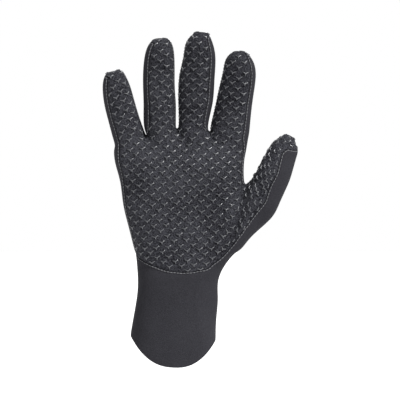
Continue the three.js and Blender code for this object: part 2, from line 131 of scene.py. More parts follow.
SIDE_EDGES = (0.018, 0.982)
HAND_SPLIT = [0, 0.241, 0.483, 0.73, 1]
CUFF_SQUARE = 2.5
FINGER_SQUARE = 2.25
WRIST_SQUARE = 2
HEM_SQUARE = 2.43
HEM_TILT = -0.095
BALL_SQUARE = 4
WEB_FRONT = 0.42
WEB_BACK = 0.62
THUMB_TOP_ROW = 2
THUMB_LOW_ROW = 5

THUMB_FORK = (0.551, 0.58)

# out, up, wide, deep, slope, forward, seams, corners, dip
THUMB_RINGS = [
    (0.03, -0.43, 1.6, 1.36, 86, 0.35, (-84, 17.5), (-126, 116), 0),
    (0.2, -0.27, 1.32, 1.2, 65, 0.6, (-92, 10), (-132, 106), 0),
    (0.286, -0.106, 1.11, 1.08, 44.5, 0.75, (-98, 4), (-138, 102), 0),
    (0.368, 0.064, 1.015, 0.98, 20.5, 0.9, (-100, 4.4), (-140, 100), 0),
    (0.448, 0.256, 0.957, 0.92, 21.8, 0.97, (-100, 2.6), (-140, 98), 0.02),
    (0.534, 0.462, 0.852, 0.82, 21, 1, (-98, -1.5), (-138, 98), 0.06),
    (0.59, 0.585, 0.72, 0.72, 22, 1, (-90, 8), (-132, 100), 0.12),
    (0.62, 0.672, 0.46, 0.46, 22, 1, (-75, 30), (-132, 120), 0.04),
]
THUMB_TIP = (0.634, 0.735)

# The grip print: three-armed ridges in a centred lattice on the flat sheet, in millimetres and degrees.
# GRIP_ARMS: the arms' ways and lengths. GRIP_EDGE: how near the seam an arm may end. GRIP_CLOSEST: the least
# distance between two ridges. GRIP_WIDEST: a wider gap between ridges is filled.
GRIP_PITCH = (9.6, 8.2)
GRIP_TURN = 4.5
GRIP_ARMS = [(30, 2.9), (150, 2.9), (270, 1.5)]
GRIP_HALF_WIDTH = 0.38
GRIP_HEIGHT = 0.9
GRIP_SUNK = 0.25
GRIP_EDGE = 1.0
GRIP_CLOSEST = 4.4
GRIP_WIDEST = 5.6
GRIP_UNEVEN = 6.0
ARM_SPREAD = (0.92, 1.06)
HEIGHT_SPREAD = (0.7, 1.15)
ROOM_SHARES = (1.0, 0.75, 0.5, 0.25)
FEWEST_ARMS = 2
GRIP_SEED = 7

# A ridge's layers from its foot: share of the half-width, millimetres taken off the arms, share of the height
RIDGE_LAYERS = [(1.0, 0.0, 0.0), (0.95, 0.05, 0.6), (0.5, 0.3, 1.0)]
RIDGE_CROWN = 1.05

# In half-widths: a ridge's shortest arm, how far an arm's end narrows, to what, and where the pits between
# the arms lie. The height at an arm's end is a share of the ridge's.
ARM_SHORTEST = 1.5
ARM_TAPER = 1.2
ARM_END = 0.45
ARM_END_HEIGHT = 0.75
PIT_REACH = 1.3

# The thumb has a sheet of its own, set far from the hand's; its ridges are smaller and closer
THUMB_TURN = 12.0
THUMB_PITCH = (7.4, 5.8)
THUMB_SIZE = 0.76
THUMB_SHEET = 400.0

# Seams: the panels' edges roll in, at the edge and one step from it, and a thread runs beside the joint.
# THREAD_WANDER: how far it strays, and over what length. STITCH_SHAPE: the higher, the shorter the gaps.
SEAM_INSET = 0.12
SEAM_ROLL = (0.65, 0.15)
HEM_ROLL = (0.18, 0.0)
LEAST_LEAN = 0.4
SHARP_ANGLE = 50
THREAD_RADIUS = 0.36
THREAD_THIN = 0.9
THREAD_WANDER = (0.3, 5.0)
THREAD_ASIDE = 0.8
THREAD_RISE = -0.1
THREAD_STEP = 0.5
THREAD_SIDES = 6
STITCH_PITCH = 2.6
STITCH_SHAPE = 1.5
LINE_SMOOTHINGS = 2

COLUMNS = STRIPS * len(FINGERS)
PALM, SMOOTH = 0, 1


def mix(a, b, share):
    return a + (b - a) * share


def vector(x, y, z):
    return np.array((x, y, z), float)


def unit(way):
    return way / np.linalg.norm(way)


class Net:
    """Control points and four-cornered faces. Each face has its panel and its place in the flat sheet."""

    def __init__(self):
        self.points = []
        self.faces = []
        self.panels = []
        self.flat = []

    def point(self, place):
        self.points.append(np.asarray(place, float))
        return len(self.points) - 1

    def face(self, ring, panel, flat=None):
        self.faces.append(ring)
        self.panels.append(panel)
        self.flat.append(flat if flat is not None else [(math.nan, math.nan)] * 4)


net = Net()


def finger_of(column):
    """The finger that a column of the hand runs into; the last column belongs to the last finger."""
    return min(column // STRIPS, len(FINGERS) - 1)


def across(column, ends):
    """Place across the hand of a column, from -1 to 1, with the strips' ends as shares of the breadth."""
    finger = finger_of(column)
    step = (column - finger * STRIPS) / STRIPS
    return 2 * mix(*ends, mix(HAND_SPLIT[finger], HAND_SPLIT[finger + 1], step)) - 1


def hand_point(row, place, side):
    reach = (1 - abs(place) ** row["square"]) ** (1 / row["square"])
    x = mix(row["left"], row["right"], (place + 1) / 2)
    hollow = row["cup"] * math.cos(place * math.pi / 2) ** 2
    ball = row["ball"] * max(place, 0) ** BALL_SQUARE
    y = hollow - ball - row["front"] * reach if side < 0 else row["back"] * reach
    bow = row["bow"] * (1 - abs(place) ** row["bow_square"])
    return vector(x, y, row["height"] + row["tilt"] * place - bow)


def side_point(section):
    """The point half way round a section's right side, between the ends of the front and back strips."""
    front, back = (
        math.asin(across(COLUMNS, ends) ** (section["square"] / 2)) for ends in (section["seams"], SIDE_EDGES)
    )
    turn = (front + math.pi - back) / 2
    return hand_point(section, math.sin(turn) ** (2 / section["square"]), -1 if turn < math.pi / 2 else 1)


def hand_section(row):
    up, left, right, front, back, bow, cup, ball, square, seams = row
    return dict(
        left=left * HAND_BREADTH, right=right * HAND_BREADTH,
        front=front * HAND_DEPTH, back=back * HAND_DEPTH,
        cup=cup * HAND_DEPTH, ball=ball * HAND_DEPTH, square=square, bow=bow * PALM_LENGTH,
        height=CUFF_LENGTH + up * PALM_LENGTH, tilt=0, seams=seams, bow_square=WRIST_SQUARE,
    )


def cuff_section(row):
    down, left, right, front, back, seam = row
    wrist_bow = HAND_ROWS[-1][5] * PALM_LENGTH
    return dict(
        left=left * CUFF_WIDTH, right=right * CUFF_WIDTH, front=front * CUFF_DEPTH, back=back * CUFF_DEPTH,
        cup=0, ball=0, square=CUFF_SQUARE, bow=mix(wrist_bow, HEM_DROP, down),
        height=CUFF_LENGTH * (1 - down), tilt=down * HEM_TILT * HEM_DROP, seams=(SIDE_EDGES[0], seam),
        bow_square=mix(WRIST_SQUARE, HEM_SQUARE, down),
    )


def hand_ring(section):
    front = [net.point(hand_point(section, across(c, section["seams"]), -1)) for c in range(COLUMNS + 1)]
    back = [net.point(hand_point(section, across(c, SIDE_EDGES), 1)) for c in range(COLUMNS + 1)]
    right = net.point(side_point(section))
    left = net.point(hand_point(section, -1, 1))
    return dict(front=front, back=back, right=right, left=left)


def ring_loop(ring):
    return [*ring["front"], ring["right"], *reversed(ring["back"]), ring["left"]]


def square_off(value):
    return math.copysign(abs(value) ** (2 / FINGER_SQUARE), value)


def ring_angles(seams, corners):
    steps = range(STRIPS + 1)
    return [
        *(mix(*seams, s / STRIPS) for s in steps),
        (seams[1] + corners[1]) / 2,
        *(mix(corners[1], corners[0] + 360, s / STRIPS) for s in steps),
        (seams[0] + corners[0]) / 2,
    ]


def ring_places(ring):
    places = []
    for angle in ring_angles(ring["seams"], ring["corners"]):
        turn = math.radians(angle)
        places.append(
            ring["middle"]
            + ring["aside"] * ring["half_width"] * square_off(math.sin(turn))
            + ring["ahead"] * ring["half_depth"] * square_off(math.cos(turn))
            - ring["along"] * ring["dip"] * math.cos(turn)
        )
    return places


def arc_length(ring, angle, steps=24):
    """Length round a ring from the middle of its palm side to an angle, positive to the right."""
    turns = np.radians(np.linspace(0, angle, steps + 1))
    aside = ring["half_width"] * np.sign(np.sin(turns)) * np.abs(np.sin(turns)) ** (2 / FINGER_SQUARE)
    ahead = ring["half_depth"] * np.sign(np.cos(turns)) * np.abs(np.cos(turns)) ** (2 / FINGER_SQUARE)
    return math.copysign(np.hypot(np.diff(aside), np.diff(ahead)).sum(), angle)


def flat_round(ring, start, heights):
    """Places in the flat sheet of a ring's points, the palm strips' edges first, each at its own height."""
    angles = ring_angles(ring["seams"], ring["corners"])
    angles = [angle - 360 if angle > 180 else angle for angle in angles]
    side = len(angles) - len(heights)
    levels = [*heights, *[heights[-1]] * (side // 2), *[heights[0]] * (side // 2)]
    return [(start + arc_length(ring, angle), level) for angle, level in zip(angles, levels)]


def join_rings(lower, upper, tip, flat_lower, flat_upper):
    """Faces between two rings, palm strips first; the flat sheet is cut open at the middle of the back."""
    count = len(lower)
    for i in range(count):
        j = (i + 1) % count
        front = i < STRIPS
        in_sheet = front or (tip and i != 2 * STRIPS)
        flat = [flat_lower[i], flat_lower[j], flat_upper[j], flat_upper[i]] if in_sheet else None
        net.face([lower[i], lower[j], upper[j], upper[i]], PALM if tip or front else SMOOTH, flat)


def cap_ring(ring, tip, half_ridge, aside, flat, rise):
    """The rounded end of a finger: the last ring closed over a short ridge through the tip."""
    front = ring[: STRIPS + 1]
    right = ring[STRIPS + 1]
    back = ring[STRIPS + 2 : 2 * STRIPS + 3][::-1]
    left = ring[2 * STRIPS + 3]
    places = [2 * (s - 1) / (STRIPS - 2) - 1 for s in range(1, STRIPS)]
    ridge = [left, *(net.point(tip + aside * place * half_ridge) for place in places), right]
    over = [(s, t + rise) for s, t in flat]
    beyond = [(s, t + 2 * rise) for s, t in flat]
    for s in range(STRIPS):
        near = [flat[s], flat[s + 1], over[s + 1], over[s]]
        far = [over[s], over[s + 1], beyond[s + 1], beyond[s]]
        net.face([front[s], front[s + 1], ridge[s + 1], ridge[s]], PALM, near)
        net.face([ridge[s], ridge[s + 1], back[s + 1], back[s]], PALM, far)


def finger_axis(finger):
    lean = math.radians(finger["lean"])
    root = vector(finger["at"] * HAND_BREADTH, 0, CUFF_LENGTH + finger["root"] * PALM_LENGTH)
    up = vector(math.sin(lean), 0, math.cos(lean))
    aside = vector(math.cos(lean), 0, -math.sin(lean))
    return root, up, aside, finger["long"] * FINGER_LENGTH


def finger_middle(finger, share, off):
    root, up, aside, length = finger_axis(finger)
    return root + up * share * length + vector(0, -FINGER_CURL * share**2, 0) + aside * off * FINGER_WIDTH


def finger_ring(finger, row):
    share, wide, deep, off = row
    _, up, aside, length = finger_axis(finger)
    along = unit(up + vector(0, -2 * FINGER_CURL * share / length, 0))
    return dict(
        middle=finger_middle(finger, share, off), aside=aside, ahead=np.cross(aside, along), along=along,
        half_width=wide * FINGER_WIDTH / 2, half_depth=deep * FINGER_DEPTH / 2,
        seams=finger["seams"], corners=finger["corners"], dip=0,
    )


def finger_root(finger):
    return finger_ring(finger, (0, *FINGER_RINGS[finger["name"]][0][1:]))


def web_point(web, depth):
    at, up = web
    return net.point((at * HAND_BREADTH, depth * FINGER_DEPTH / 2, CUFF_LENGTH + up * PALM_LENGTH))


def knuckle_ring():
    """The row along the fingers' roots: each finger's own root, with the webs between."""
    roots = [ring_places(finger_root(finger)) for finger in FINGERS]
    front, back = [], []
    for column in range(COLUMNS + 1):
        step = column - finger_of(column) * STRIPS
        if column % STRIPS == 0 and 0 < column < COLUMNS:
            web = WEBS[column // STRIPS - 1]
            front.append(web_point(web, -WEB_FRONT))
            back.append(web_point(web, WEB_BACK))
        else:
            root = roots[finger_of(column)]
            front.append(net.point(root[step]))
            back.append(net.point(root[2 * STRIPS + 2 - step]))
    return dict(front=front, back=back, right=net.point(roots[-1][STRIPS + 1]), left=net.point(roots[0][-1]))


knuckles = knuckle_ring()
web_middles = [web_point(web, (WEB_BACK - WEB_FRONT) / 2) for web in WEBS]
hand_rows = [hand_ring(hand_section(row)) for row in HAND_ROWS]
cuff_rows = [hand_ring(cuff_section(row)) for row in CUFF_ROWS]


def hand_flat(ring):
    """Places in the flat sheet along a row of the palm: distance round it from its middle, and height."""
    line = np.array([net.points[i] for i in ring["front"]])
    along = np.concatenate([[0], np.cumsum(np.linalg.norm(np.diff(line, axis=0), axis=1))])
    middle = COLUMNS // 2
    return [(line[middle, 0] + along[c] - along[middle], line[c, 2]) for c in range(COLUMNS + 1)]


below_knuckles = hand_flat(hand_rows[0])
knuckle_flat = [(below_knuckles[c][0], net.points[knuckles["front"][c]][2]) for c in range(COLUMNS + 1)]


def join_hand(rings):
    """Faces from the knuckles down to the hem, apart from those where the thumb opens."""
    above, flat_above = knuckles, knuckle_flat
    for i, ring in enumerate(rings):
        upper, lower = ring_loop(above), ring_loop(ring)
        flat_below = hand_flat(ring)
        for k in range(len(lower)):
            j = (k + 1) % len(lower)
            if THUMB_TOP_ROW < i <= THUMB_LOW_ROW and k in (COLUMNS, COLUMNS + 1):
                continue
            palm = k < COLUMNS and i < len(HAND_ROWS)
            flat = [flat_below[k], flat_below[k + 1], flat_above[k + 1], flat_above[k]] if palm else None
            net.face([lower[k], lower[j], upper[j], upper[k]], PALM if palm else SMOOTH, flat)
        above, flat_above = ring, flat_below


def grow_finger(i, finger):
    """A finger on its own stretch of the knuckle row."""
    columns = range(STRIPS * i, STRIPS * (i + 1) + 1)
    ring = [
        *(knuckles["front"][c] for c in columns),
        web_middles[i] if i < len(WEBS) else knuckles["right"],
        *(knuckles["back"][c] for c in reversed(columns)),
        web_middles[i - 1] if i > 0 else knuckles["left"],
    ]
    root, _, aside, length = finger_axis(finger)
    flat = [knuckle_flat[c] for c in columns]
    sheet_middle = (flat[0][0] + flat[-1][0]) / 2
    table = FINGER_RINGS[finger["name"]]
    for row in table:
        section = finger_ring(finger, row)
        upper = [net.point(place) for place in ring_places(section)]
        flat_upper = flat_round(section, sheet_middle, [root[2] + row[0] * length] * (STRIPS + 1))
        join_rings(ring, upper, False, flat, flat_upper)
        ring, flat = upper, flat_upper
    _, wide, deep, off = table[-1]
    tip = finger_middle(finger, 1, off)
    cap_ring(ring, tip, wide * FINGER_WIDTH / 4, aside, flat, deep * FINGER_DEPTH / 2)


def thumb_ring(row):
    out, up, wide, deep, slope, forward, seams, corners, dip = row
    turn = math.radians(slope)
    aside = vector(math.cos(turn), 0, -math.sin(turn))
    along = vector(math.sin(turn), 0, math.cos(turn))
    return dict(
        middle=fork + vector(out * THUMB_LENGTH, -forward * THUMB_FORWARD, up * THUMB_LENGTH),
        aside=aside, ahead=np.cross(aside, along), along=along,
        half_width=wide * THUMB_WIDTH / 2, half_depth=deep * THUMB_WIDTH / 2,
        seams=seams, corners=corners, dip=dip * THUMB_WIDTH,
    )


def grow_thumb():
    """The thumb, from the opening in the hand's side; its sheet is measured round it and along it."""
    rows = hand_rows[THUMB_TOP_ROW : THUMB_LOW_ROW + 1]
    ring = [
        *(row["front"][COLUMNS] for row in rows),
        rows[-1]["right"],
        *(row["back"][COLUMNS] for row in reversed(rows)),
        rows[0]["right"],
    ]
    front_before = np.array([net.points[k] for k in ring[: STRIPS + 1]])
    heights = np.zeros(STRIPS + 1)
    flat = flat_round(thumb_ring(THUMB_RINGS[0]), THUMB_SHEET, heights)
    for i, row in enumerate(THUMB_RINGS):
        section = thumb_ring(row)
        upper = [net.point(place) for place in ring_places(section)]
        front = np.array([net.points[k] for k in upper[: STRIPS + 1]])
        heights += np.linalg.norm(front - front_before, axis=1)
        front_before = front
        flat_upper = flat_round(section, THUMB_SHEET, heights)
        join_rings(ring, upper, i == len(THUMB_RINGS) - 1, flat, flat_upper)
        ring, flat = upper, flat_upper
    end = thumb_ring(THUMB_RINGS[-1])
    tip = fork + vector(THUMB_TIP[0] * THUMB_LENGTH, -THUMB_FORWARD, THUMB_TIP[1] * THUMB_LENGTH)
    cap_ring(ring, tip, end["half_width"] / 2, end["aside"], flat, end["half_depth"])


join_hand(hand_rows + cuff_rows)
for i, finger in enumerate(FINGERS):
    grow_finger(i, finger)
fork = vector(THUMB_FORK[0] * HAND_BREADTH, 0, CUFF_LENGTH + THUMB_FORK[1] * PALM_LENGTH)
grow_thumb()


def edges_of(faces):
    """Edges of four-cornered faces: their ends, the edge at each side of each face, and faces per edge."""
    sides = np.stack([faces, np.roll(faces, -1, axis=1)], axis=2).reshape(-1, 2)
    ends, index, count = np.unique(np.sort(sides, axis=1), axis=0, return_inverse=True, return_counts=True)
    return ends, index.reshape(-1, 4), count


def sums(index, values, length):
    total = np.zeros((length, values.shape[1]))
    np.add.at(total, index, values)
    return total


def divide(points, faces):
    """One step of smooth subdivision."""
    ends, face_edges, count = edges_of(faces)
    n = len(points)
    valence = np.bincount(faces.ravel(), minlength=n)[:, None]
    middles = points[faces].mean(axis=1)
    halves = points[ends].mean(axis=1)
    face_sum = sums(face_edges.ravel(), np.repeat(middles, 4, axis=0), len(ends))
    rim = (count == 1)[:, None]
    edge_points = np.where(rim, halves, (halves * 2 + face_sum) / 4)
    around_faces = sums(faces.ravel(), np.repeat(middles, 4, axis=0), n) / valence
    degree = np.bincount(ends.ravel(), minlength=n)[:, None]
    around_edges = sums(ends.ravel(), np.repeat(halves, 2, axis=0), n) / degree
    inside = (around_faces + 2 * around_edges + (valence - 3) * points) / valence
    rim_ends = ends[count == 1]
    rim_sum = sums(rim_ends.ravel(), points[rim_ends[:, ::-1]].reshape(-1, 3), n)
    on_rim = np.zeros(n, bool)
    on_rim[rim_ends.ravel()] = True
    moved = np.where(on_rim[:, None], (6 * points + rim_sum) / 8, inside)
    made = np.vstack([moved, middles, edge_points])
    face_at = n + np.arange(len(faces))
    edge_at = n + len(faces) + face_edges
    finer = np.stack(
        [np.stack([faces[:, i], edge_at[:, i], face_at, edge_at[:, i - 1]], axis=1) for i in range(4)], axis=1
    )
    return made, finer.reshape(-1, 4)


def divide_flat(flat):
    middle = flat.mean(axis=1)
    side = (flat + np.roll(flat, -1, axis=1)) / 2
    finer = np.stack(
        [np.stack([flat[:, i], side[:, i], middle, side[:, i - 1]], axis=1) for i in range(4)], axis=1
    )
    return finer.reshape(-1, 4, 2)


def limit_points(points, faces):
    """Where the smooth surface passes for each point."""
    ends, _, count = edges_of(faces)
    n = len(points)
    valence = np.bincount(faces.ravel(), minlength=n)[:, None]
    edge_sum = sums(ends.ravel(), points[ends[:, ::-1]].reshape(-1, 3), n)
    far_sum = sums(faces.ravel(), points[np.roll(faces, -2, axis=1)].reshape(-1, 3), n)
    inside = (valence**2 * points + 4 * edge_sum + far_sum) / (valence * (valence + 5))
    rim_ends = ends[count == 1]
    rim_sum = sums(rim_ends.ravel(), points[rim_ends[:, ::-1]].reshape(-1, 3), n)
    on_rim = np.zeros(n, bool)
    on_rim[rim_ends.ravel()] = True
    return np.where(on_rim[:, None], (4 * points + rim_sum) / 6, inside)


targets = np.array(net.points)
faces = np.array(net.faces)
panels = np.array(net.panels)
flat = np.array(net.flat, float)
points = targets.copy()
for _ in range(FIT_ROUNDS):
    points += targets - limit_points(points, faces)
for _ in range(DIVISIONS):
    points, faces = divide(points, faces)
    flat = divide_flat(flat)
    panels = np.repeat(panels, 4)
points = limit_points(points, faces)


def face_normals(points, faces):
    a, b, c, d = (points[faces[:, i]] for i in range(4))
    return np.cross(c - a, d - b)


def point_normals(points, faces):
    total = sums(faces.ravel(), np.repeat(face_normals(points, faces), 4, axis=0), len(points))
    return total / np.linalg.norm(total, axis=1, keepdims=True)


normals = point_normals(points, faces)

# Soft folds of the filled neoprene, in millimetres: from and to in the plane of the hand, on the palm (-1) or
# the back (1), how wide and how deep
FOLDS = [
    dict(start=(-34, 60), end=(-8, 53), side=-1, wide=3.5, deep=0.5),
    dict(start=(-46, 132), end=(-12, 141), side=-1, wide=6, deep=0.35),
    dict(start=(52, 126), end=(22, 96), side=-1, wide=6, deep=0.5),
    dict(start=(22, 96), end=(14, 66), side=-1, wide=7, deep=0.4),
    dict(start=(-26, 56), end=(28, 58), side=1, wide=4, deep=0.7),
    dict(start=(-28, 48), end=(24, 47), side=1, wide=4.5, deep=0.5),
    dict(start=(-40, 176), end=(-30, 173), side=-1, wide=4, deep=0.4),
    dict(start=(-22, 188), end=(-4, 188), side=-1, wide=4, deep=0.4),
    dict(start=(6, 196), end=(27, 194), side=-1, wide=4, deep=0.4),
    dict(start=(36, 190), end=(56, 186), side=-1, wide=4, deep=0.4),
    dict(start=(-22, 212), end=(-4, 212), side=-1, wide=4, deep=0.3),
    dict(start=(6, 220), end=(29, 218), side=-1, wide=4, deep=0.3),
]
FOLD_RIM = 0.35
FOLD_RIM_AWAY = 1.6
SWELL = 0.35
SWELL_SIZE = 26.0


def fold_depth(points, normals):
    """How deep the folds lie at each point; beside each fold the neoprene bulges a little."""
    depth = np.zeros(len(points))
    plane = points[:, [0, 2]]
    for fold in FOLDS:
        start, end = np.array(fold["start"], float), np.array(fold["end"], float)
        line = end - start
        share = np.clip(((plane - start) @ line) / (line @ line), 0, 1)
        away = np.linalg.norm(plane - start - share[:, None] * line, axis=1) / fold["wide"]
        facing = np.clip(normals[:, 1] * fold["side"] * 2, 0, 1)
        bulge = FOLD_RIM * np.exp(-((away - FOLD_RIM_AWAY) ** 2))
        depth += fold["deep"] * facing * (np.exp(-(away**2)) - bulge)
    return depth


swell = np.array([noise(Vector(p) / SWELL_SIZE) for p in points]) * SWELL
shaped = points + normals * (swell - fold_depth(points, normals))[:, None]


def panel_parts(panel):
    """A panel's faces, the edges round it, and for each point on them the way in."""
    ring = faces[panels == panel]
    _, face_edges, count = edges_of(ring)
    normal = face_normals(points, ring)
    normal /= np.linalg.norm(normal, axis=1, keepdims=True)
    rims = []
    inward = {}
    for f, side in zip(*np.nonzero(count[face_edges] == 1)):
        a, b = int(ring[f, side]), int(ring[f, (side + 1) % 4])
        along = points[b] - points[a]
        inside = np.cross(normal[f], along / np.linalg.norm(along))
        rims.append((a, b))
        for end in (a, b):
            inward.setdefault(end, []).append(inside)
    return ring, rims, inward


whole_ends, _, whole_count = edges_of(faces)
hem_points = set(whole_ends[whole_count == 1].ravel().tolist())


def new_mesh(name, vertices, polygons, materials, material_of=None):
    mesh = bpy.data.meshes.new(name)
    mesh.from_pydata((np.asarray(vertices) * MM).tolist(), [], [list(p) for p in polygons])
    for material in materials:
        mesh.materials.append(material)
    if material_of is not None:
        mesh.polygons.foreach_set("material_index", np.asarray(material_of, np.int32))
    mesh.polygons.foreach_set("use_smooth", np.ones(len(mesh.polygons), bool))
    mesh.update()
    obj = bpy.data.objects.new(name, mesh)
    bpy.context.scene.collection.objects.link(obj)
    return obj


def panel_object(name, panel, materials):
    """A panel of neoprene with its wall, rolled in along its edges; also those edges and the way in."""
    ring, rims, inward = panel_parts(panel)
    used = np.unique(ring)
    local = {int(i): k for k, i in enumerate(used)}
    shift = np.zeros((len(used), 3))
    roll = np.zeros(len(used))
    edge = set(inward)
    beside = set(ring[np.isin(ring, list(edge)).any(axis=1)].ravel().tolist()) - edge
    for i in beside:
        near_hem = hem_points & set(ring[(ring == i).any(axis=1)].ravel().tolist())
        roll[local[i]] = HEM_ROLL[1] if near_hem else SEAM_ROLL[1]
    for i, ways in inward.items():
        way = unit(np.mean(ways, axis=0))
        shift[local[i]] = way * SEAM_INSET / max(float(way @ ways[0]), LEAST_LEAN)
        roll[local[i]] = HEM_ROLL[0] if i in hem_points else SEAM_ROLL[0]
    normal = normals[used]
    outer = shaped[used] + shift - normal * roll[:, None]
    inner = points[used] + shift - normal * WALL
    count = len(used)
    at = np.searchsorted(used, ring)
    polygons = [*at, *(at[:, ::-1] + count)]
    polygons += [(local[b], local[a], local[a] + count, local[b] + count) for a, b in rims]
    kinds = [0] * len(at) + [1] * len(at) + [2] * len(rims)
    obj = new_mesh(name, np.vstack([outer, inner]), polygons, materials, kinds)
    obj.data.set_sharp_from_angle(angle=math.radians(SHARP_ANGLE))
    return obj, rims, inward


# Scales are cells a metre; colours are linear
CLOUD_SCALE = 40
CLOUD_DETAIL = 3
CLOUD_SHARE = 0.35
GRAIN_DETAIL = 2
TONE_SPREAD = 0.3
KNIT_SHARE = 0.8
BUMP_DEPTH = 0.0005


def noise_node(tree, place, scale, detail):
    node = tree.nodes.new("ShaderNodeTexNoise")
    node.inputs["Scale"].default_value = scale
    node.inputs["Detail"].default_value = detail
    tree.links.new(place.outputs["Object"], node.inputs["Vector"])
    return node


def weighted(tree, first, weight, second):
    """first times a weight, plus second."""
    node = tree.nodes.new("ShaderNodeMath")
    node.operation = "MULTIPLY_ADD"
    tree.links.new(first, node.inputs[0])
    node.inputs[1].default_value = weight
    tree.links.new(second, node.inputs[2])
    return node.outputs[0]


def ramp_between(tree, value, low, high, dark, light):
    ramp = tree.nodes.new("ShaderNodeValToRGB")
    ramp.color_ramp.elements[0].position = low
    ramp.color_ramp.elements[0].color = (*dark, 1)
    ramp.color_ramp.elements[1].position = high
    ramp.color_ramp.elements[1].color = (*light, 1)
    tree.links.new(value, ramp.inputs["Fac"])
    return ramp.outputs["Color"]


def procedural(name, dark, light, grain, knit, bump, roughness, specular, spread=TONE_SPREAD):
    """A matte knitted or moulded face: fine grain in colour and relief over a faint cloudy variation."""
    material = bpy.data.materials.new(name)
    material.use_nodes = True
    tree = material.node_tree
    shader = tree.nodes["Principled BSDF"]
    place = tree.nodes.new("ShaderNodeTexCoord")
    clouds = noise_node(tree, place, CLOUD_SCALE, CLOUD_DETAIL)
    fine = noise_node(tree, place, grain, GRAIN_DETAIL)
    cells = tree.nodes.new("ShaderNodeTexVoronoi")
    cells.inputs["Scale"].default_value = knit
    tree.links.new(place.outputs["Object"], cells.inputs["Vector"])
    tone = weighted(tree, clouds.outputs["Fac"], CLOUD_SHARE, fine.outputs["Fac"])
    middle = (1 + CLOUD_SHARE) / 2
    tree.links.new(
        ramp_between(tree, tone, middle - spread, middle + spread, dark, light),
        shader.inputs["Base Color"],
    )
    bumper = tree.nodes.new("ShaderNodeBump")
    bumper.inputs["Strength"].default_value = bump
    bumper.inputs["Distance"].default_value = BUMP_DEPTH
    relief = weighted(tree, cells.outputs["Distance"], KNIT_SHARE, fine.outputs["Fac"])
    tree.links.new(relief, bumper.inputs["Height"])
    tree.links.new(bumper.outputs["Normal"], shader.inputs["Normal"])
    shader.inputs["Roughness"].default_value = roughness
    shader.inputs["Specular IOR Level"].default_value = specular
    return material


# Columns of a material: dark, light, grain, knit, bump, roughness, specular
grip_cloth = procedural(
    "grip_cloth", (0.004, 0.004, 0.006), (0.051, 0.052, 0.061), 1000, 1100, 0.9, 0.85, 0.12, spread=0.17
)
smooth_cloth = procedural(
    "smooth_cloth", (0.016, 0.0157, 0.019), (0.036, 0.0355, 0.0415), 1500, 1600, 0.35, 0.9, 0.1
)
lining = procedural("lining", (0.014, 0.014, 0.016), (0.036, 0.036, 0.041), 1500, 1300, 0.5, 0.9, 0.2)
foam = procedural("cut_foam", (0.010, 0.010, 0.011), (0.026, 0.026, 0.028), 2500, 2600, 0.5, 0.8, 0.2)
grip_rubber = procedural(
    "grip_rubber", (0.045, 0.046, 0.052), (0.095, 0.097, 0.107), 1800, 2000, 0.15, 0.3, 0.9
)
thread = procedural("seam_thread", (0.080, 0.081, 0.088), (0.200, 0.202, 0.214), 2400, 2600, 0.4, 0.6, 0.4)

palm_object, palm_rims, palm_inward = panel_object("palm_panel", PALM, [grip_cloth, lining, foam])
smooth_object, _, _ = panel_object("back_and_cuff", SMOOTH, [smooth_cloth, lining, foam])


# The grip print: the palm panel's faces and seam edge, to set the ridges on
TINY_AREA = 1e-9
ON_EDGE = 1e-6
palm_faces = np.flatnonzero(panels == PALM)
palm_tree = BVHTree.FromPolygons([Vector(p) for p in shaped], faces[palm_faces].tolist())
edge_ends = np.array(palm_rims)
edge_line = np.vstack([shaped[edge_ends[:, 0]], shaped[edge_ends].mean(axis=1)])
edge_places = KDTree(len(edge_line))
for i, place in enumerate(edge_line):
    edge_places.insert(place, i)
edge_places.balance()
rng = np.random.default_rng(GRIP_SEED)


def lattice_points(low, high, pitch):
    """Lattice places inside a box of the flat sheet."""
    turn = math.radians(GRIP_TURN)
    across_way = np.array((math.cos(turn), math.sin(turn)))
    up_way = np.array((-math.sin(turn), math.cos(turn)))
    corners = np.array([(low[0], low[1]), (high[0], low[1]), (low[0], high[1]), (high[0], high[1])])
    a = corners @ across_way / pitch[0] * 2
    b = corners @ up_way / pitch[1] * 2
    for i in range(math.floor(a.min()), math.ceil(a.max()) + 1):
        for j in range(math.floor(b.min()), math.ceil(b.max()) + 1):
            spot = across_way * i * pitch[0] / 2 + up_way * j * pitch[1] / 2
            if (i + j) % 2 == 0 and (spot >= low).all() and (spot <= high).all():
                yield spot


def place_of(f, spot):
    """Where a spot of the sheet lies on a face: its place, the normal and the sheet's way to the right."""
    for corners in ([0, 1, 2], [0, 2, 3]):
        u = flat[f][corners]
        base = np.column_stack([u[1] - u[0], u[2] - u[0]])
        if abs(np.linalg.det(base)) < TINY_AREA:
            continue
        share = np.linalg.solve(base, spot - u[0])
        if share.min() < -ON_EDGE or share.sum() > 1 + ON_EDGE:
            continue
        p = shaped[faces[f][corners]]
        sides = np.column_stack([p[1] - p[0], p[2] - p[0]])
        normal = unit(normals[faces[f][corners]].mean(axis=0))
        right = (sides @ np.linalg.inv(base))[:, 0]
        return p[0] + sides @ share, normal, unit(right - normal * (right @ normal))
    return None


def grip_places():
    """Where each ridge stands, as place_of gives it, and whether on the thumb."""
    in_lattice, between = [], []
    for f in palm_faces:
        chart = flat[f]
        if np.isnan(chart).any():
            continue
        thumb = chart[0, 0] > THUMB_SHEET / 2
        spots = lattice_points(chart.min(axis=0), chart.max(axis=0), THUMB_PITCH if thumb else GRIP_PITCH)
        in_lattice += [(place_of(f, spot), thumb) for spot in spots]
        between.append((place_of(f, chart[[0, 2]].mean(axis=0)), thumb))
    kept = []
    for places, closest in ((in_lattice, GRIP_CLOSEST), (between, GRIP_WIDEST)):
        for place, thumb in places:
            if place is None:
                continue
            apart = closest * (THUMB_SIZE if thumb else 1)
            others = np.array([other[0][0] for other in kept]).reshape(-1, 3)
            if (np.linalg.norm(others - place[0], axis=1) > apart).all():
                kept.append((place, thumb))
    return kept


